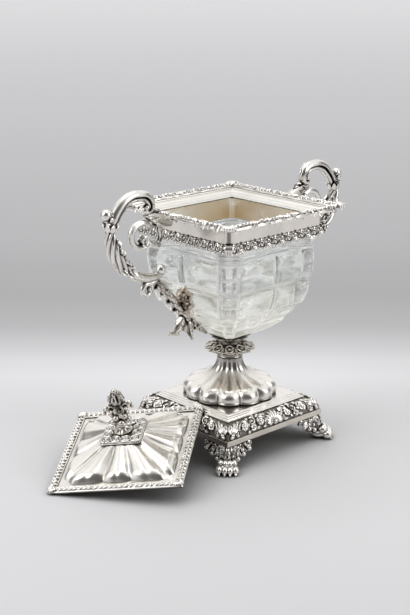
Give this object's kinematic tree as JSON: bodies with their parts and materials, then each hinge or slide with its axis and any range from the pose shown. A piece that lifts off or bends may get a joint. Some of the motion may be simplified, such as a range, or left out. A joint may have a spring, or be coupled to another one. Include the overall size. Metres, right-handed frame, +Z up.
{
  "type": "sweetmeat box",
  "caption": "Covered sweetmeat box: square cut-crystal bowl in a silver mount with scroll handles, on a lobed pedestal and paw-footed plinth; its lobed square lid leans beside it.",
  "frame": {"origin": "on the floor, under the middle of the whole set's bounding box", "axes": "+Z up; +X through the handles, away from the lid; +Y through the plain sides"},
  "size_m": [0.3332, 0.1566, 0.2364],
  "materials": {
    "silver": "polished silver, darkened in its recesses",
    "gilt": "worn gilding, satin",
    "crystal": "polished cut lead crystal",
    "steel": "dull"
  },
  "bodies": {
    "stand": {"base_frame_moulding": "silver", "base_frieze_strip_1": "silver", "base_frieze_strip_2": "silver", "base_frieze_strip_3": "silver", "base_frieze_strip_4": "silver", "base_top_plate": "silver", "paw_foot_1": "silver", "paw_foot_2": "silver", "paw_foot_3": "silver", "paw_foot_4": "silver", "foot_foliage_1": "silver", "foot_foliage_2": "silver", "foot_foliage_3": "silver", "foot_foliage_4": "silver", "pedestal_dome": "silver", "leaf_collar": "silver", "calyx_cup": "silver", "tie_rod": "steel", "tie_rod_washer": "steel", "tie_rod_nut": "steel", "crystal_bowl": "crystal", "collar_band": "silver", "collar_leaf_border": "silver", "mouth_liner": "gilt", "rim_flare": "silver", "rim_border": "silver", "right_handle_scroll": "silver", "right_handle_inner_curl": "silver", "right_handle_rim_bracket": "silver", "right_handle_thumb_ball": "silver", "right_handle_lower_scroll": "silver", "right_handle_strap": "silver", "right_handle_flower": "silver", "right_handle_leaf_spray": "silver", "left_handle_scroll": "silver", "left_handle_inner_curl": "silver", "left_handle_rim_bracket": "silver", "left_handle_thumb_ball": "silver", "left_handle_lower_scroll": "silver", "left_handle_strap": "silver", "left_handle_flower": "silver", "left_handle_leaf_spray": "silver"},
    "lid": {"lid_cover": "silver", "lid_border": "silver", "lid_bezel": "silver", "lid_rosette_plate": "silver", "finial_foot": "silver", "finial_leaves": "silver", "finial_bud": "silver", "finial_nut": "steel", "finial_rod": "steel"}
  },
  "joints": [
    {"name": "lid_lift", "type": "slide", "parent": "stand", "child": "lid", "axis": [-0.7071, 0, 0.7071], "range_m": [0, 0.2]}
  ]
}
